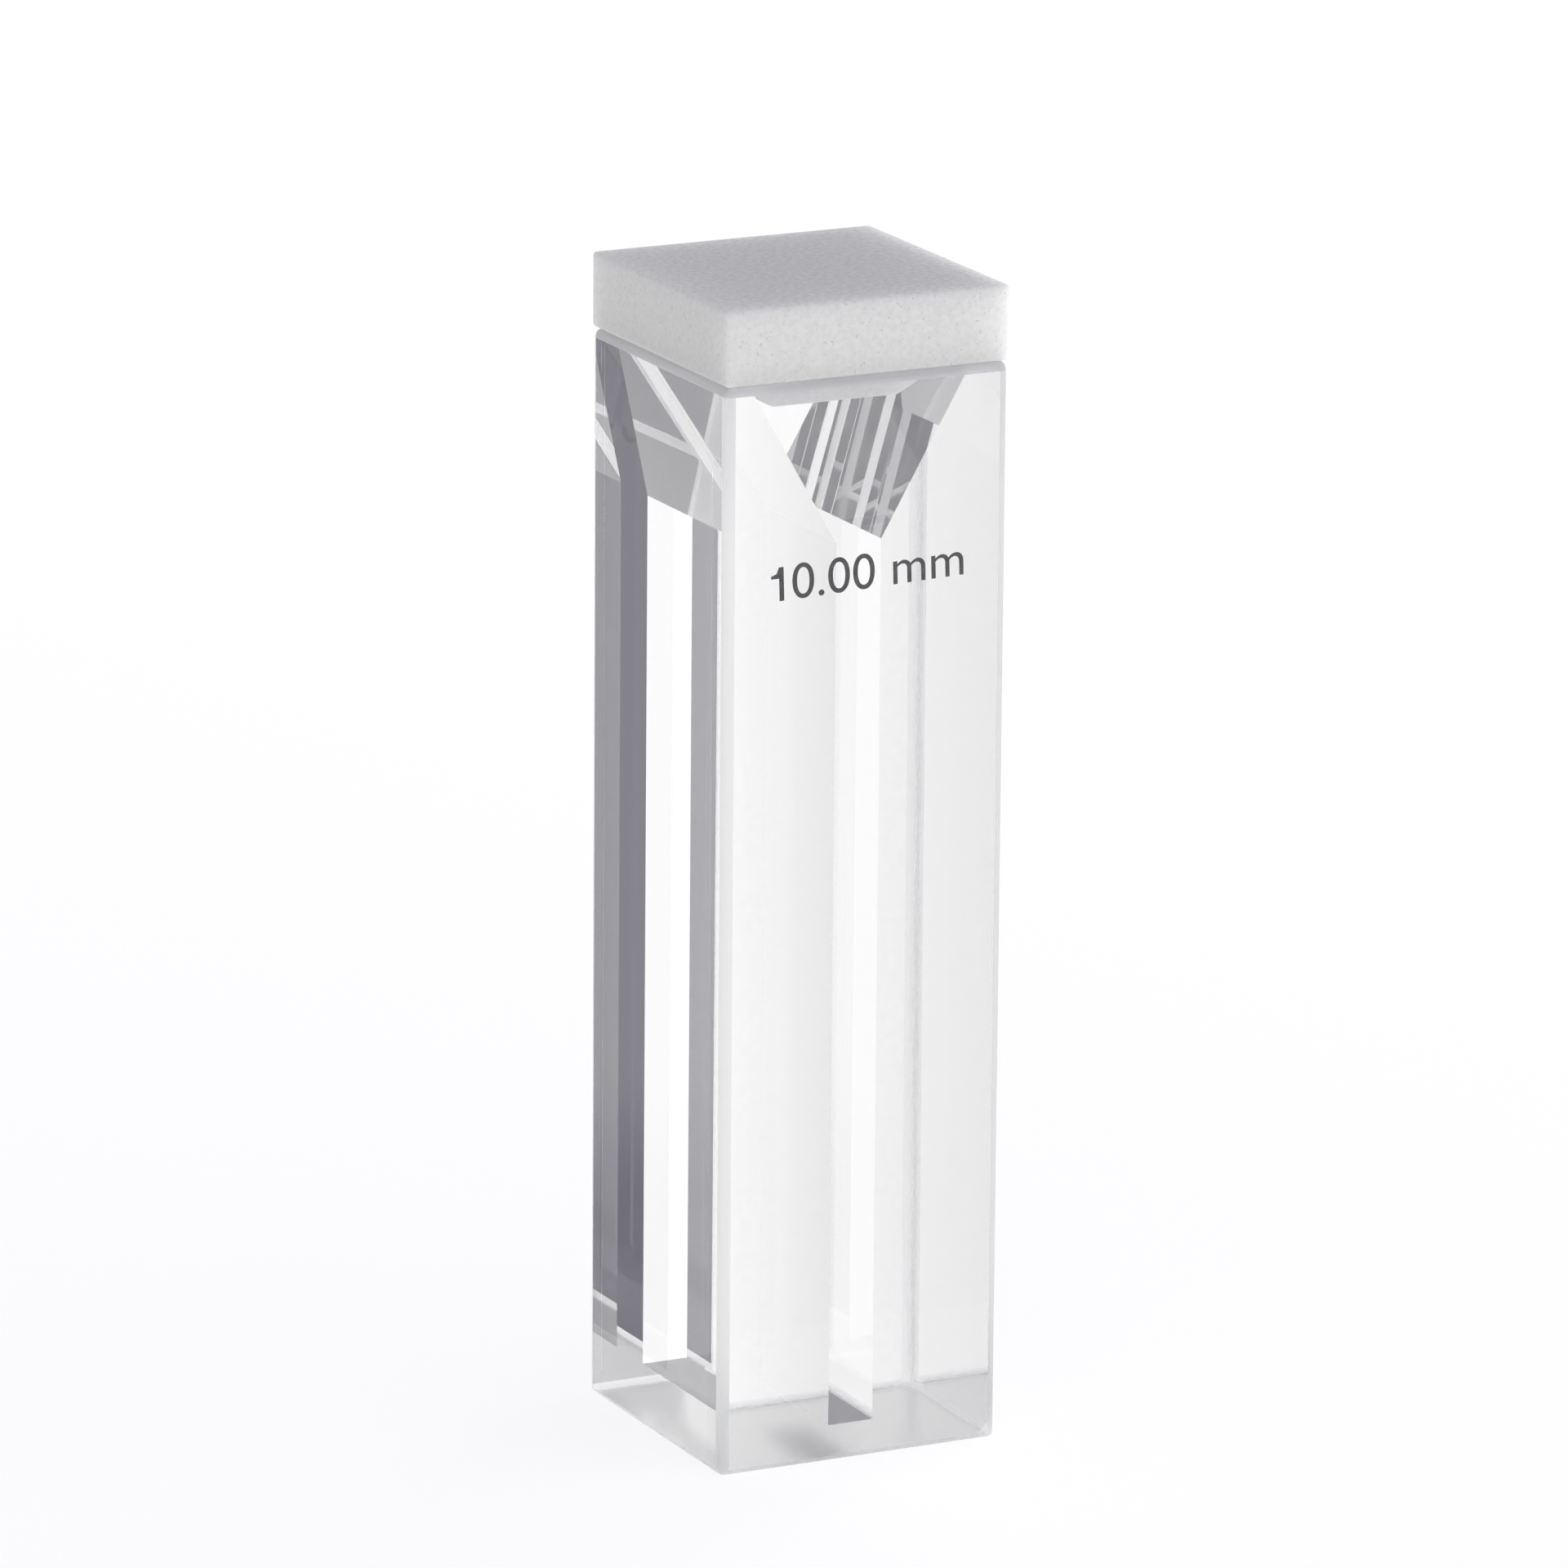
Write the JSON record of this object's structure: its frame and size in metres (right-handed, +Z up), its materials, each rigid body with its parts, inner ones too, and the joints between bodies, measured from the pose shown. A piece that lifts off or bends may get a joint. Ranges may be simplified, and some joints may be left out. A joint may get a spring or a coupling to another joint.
{
  "type": "cuvette",
  "caption": "Square narrow-slot cuvette of fused clear quartz plates, with a V-shaped filling funnel under its rim and a loose white lid whose tapered plug sits in the mouth.",
  "frame": {"origin": "centre of the cell's underside, on the surface that it stands on", "axes": "+Z up along the cell, from its underside to its rim and lid; +Y from the front window, which carries the path length, to the rear window, along the light path; +X to the right as seen from the front, across the slot"},
  "size_m": [0.0126, 0.0126, 0.0481],
  "materials": {
    "quartz": "polished clear",
    "lid_white": "fine matte",
    "path_mark": "matte print"
  },
  "bodies": {
    "root": {"front_window": "quartz", "rear_window": "quartz", "left_side_block": "quartz", "right_side_block": "quartz", "base_plate": "quartz", "lid": "lid_white"}
  },
  "joints": []
}
